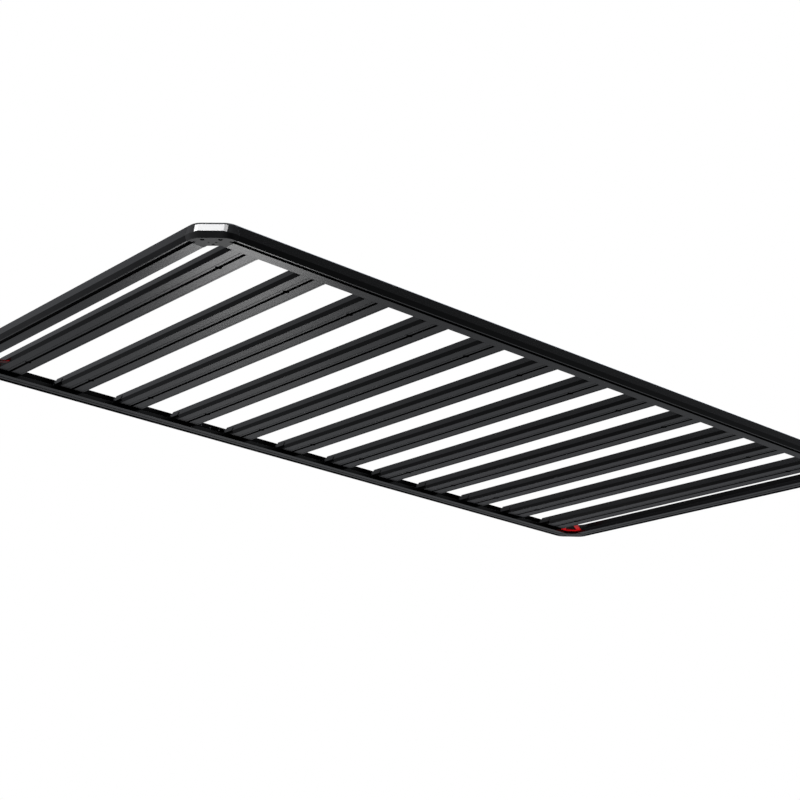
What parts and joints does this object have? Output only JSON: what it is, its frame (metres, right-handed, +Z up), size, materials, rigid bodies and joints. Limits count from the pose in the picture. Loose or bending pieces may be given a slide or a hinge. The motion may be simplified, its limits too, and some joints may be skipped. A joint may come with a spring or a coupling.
{
  "type": "flat platform roof rack",
  "caption": "Flat low-profile roof rack: slotted aluminium slats spanning a frame of extruded rails with cut, rounded corner castings, coated satin black.",
  "frame": {"origin": "middle of the rack in plan, on the plane of the rails' undersides", "axes": "+X to the right across the slats' length, +Y to the rear along the long rails, +Z up"},
  "size_m": [1.287, 2.534, 0.0428],
  "materials": {
    "rail_coat": "satin black powder coat",
    "corner_coat": "satin black powder coat on a casting",
    "slat_coat": "satin black powder coat",
    "bracket_black": "matt black",
    "badge_white": "white gloss",
    "opener_red": "red gloss coat"
  },
  "bodies": {
    "root": {"left_rail": "rail_coat", "right_rail": "rail_coat", "front_rail": "rail_coat", "rear_rail": "rail_coat", "front_left_corner": "corner_coat", "front_right_corner": "corner_coat", "rear_left_corner": "corner_coat", "rear_right_corner": "corner_coat", "badge_plate": "badge_white", "front_bottle_opener": "opener_red", "rear_bottle_opener": "opener_red", "slat_01": "slat_coat", "slat_01_brackets": "bracket_black", "slat_02": "slat_coat", "slat_02_brackets": "bracket_black", "slat_03": "slat_coat", "slat_03_brackets": "bracket_black", "slat_04": "slat_coat", "slat_04_brackets": "bracket_black", "slat_05": "slat_coat", "slat_05_brackets": "bracket_black", "slat_06": "slat_coat", "slat_06_brackets": "bracket_black", "slat_07": "slat_coat", "slat_07_brackets": "bracket_black", "slat_08": "slat_coat", "slat_08_brackets": "bracket_black", "slat_09": "slat_coat", "slat_09_brackets": "bracket_black", "slat_10": "slat_coat", "slat_10_brackets": "bracket_black", "slat_11": "slat_coat", "slat_11_brackets": "bracket_black", "slat_12": "slat_coat", "slat_12_brackets": "bracket_black"}
  },
  "joints": []
}
